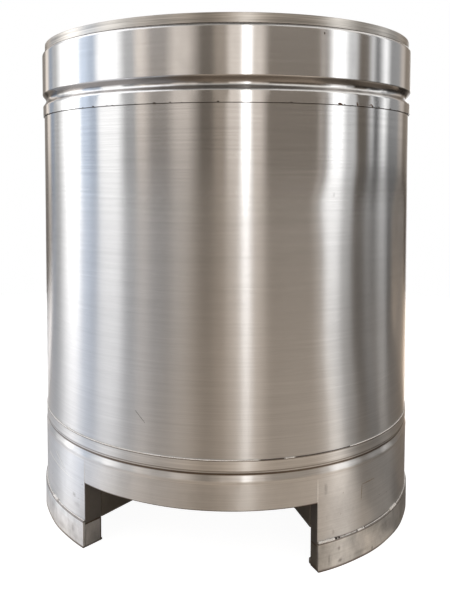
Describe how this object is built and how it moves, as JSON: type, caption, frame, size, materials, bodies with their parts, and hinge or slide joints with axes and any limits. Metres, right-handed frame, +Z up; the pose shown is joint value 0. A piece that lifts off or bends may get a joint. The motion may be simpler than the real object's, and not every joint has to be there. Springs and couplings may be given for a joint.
{
  "type": "round stainless steel tank",
  "caption": "Upright round stainless steel tank with a grooved top collar, an inset stacking rim, a beaded skirt and curved feet that leave a fork opening front and back.",
  "frame": {"origin": "on the floor, on the tank's axis", "axes": "+Z up along the tank's axis, -Y towards the front opening, the feet at -X and +X"},
  "size_m": [1.2662, 1.2588, 1.541],
  "materials": {
    "wall": "brushed round the tank, worn satin",
    "collar": "brushed round the tank, brighter",
    "rim": "turned, with fine streaks round it",
    "base": "dull and smudged",
    "plate": "mill finish, dark from shade and dirt"
  },
  "bodies": {
    "root": {"shell": "wall", "top_head": "wall", "bottom_head": "plate", "top_collar": "collar", "stacking_rim": "rim", "skirt_ring": "wall", "apron_front": "wall", "apron_back": "wall", "foot_skin_left": "wall", "foot_skin_right": "wall", "base_band_left": "base", "base_band_right": "base", "base_inner_wall_left": "base", "base_inner_wall_right": "base", "base_lip_left": "base", "base_lip_right": "base", "base_shelf_left": "base", "base_shelf_right": "base", "sole_left": "base", "sole_right": "base", "base_end_left_a": "base", "base_end_left_b": "base", "base_end_right_a": "base", "base_end_right_b": "base", "foot_end_left_a": "wall", "foot_end_left_b": "wall", "foot_end_right_a": "wall", "foot_end_right_b": "wall", "rib_through": "plate", "rib_front_left": "plate", "rib_back_right": "plate", "manway_neck": "collar", "manway_flange": "collar", "manway_lid": "collar", "manway_clamp": "collar", "lid_handle": "rim"}
  },
  "joints": []
}
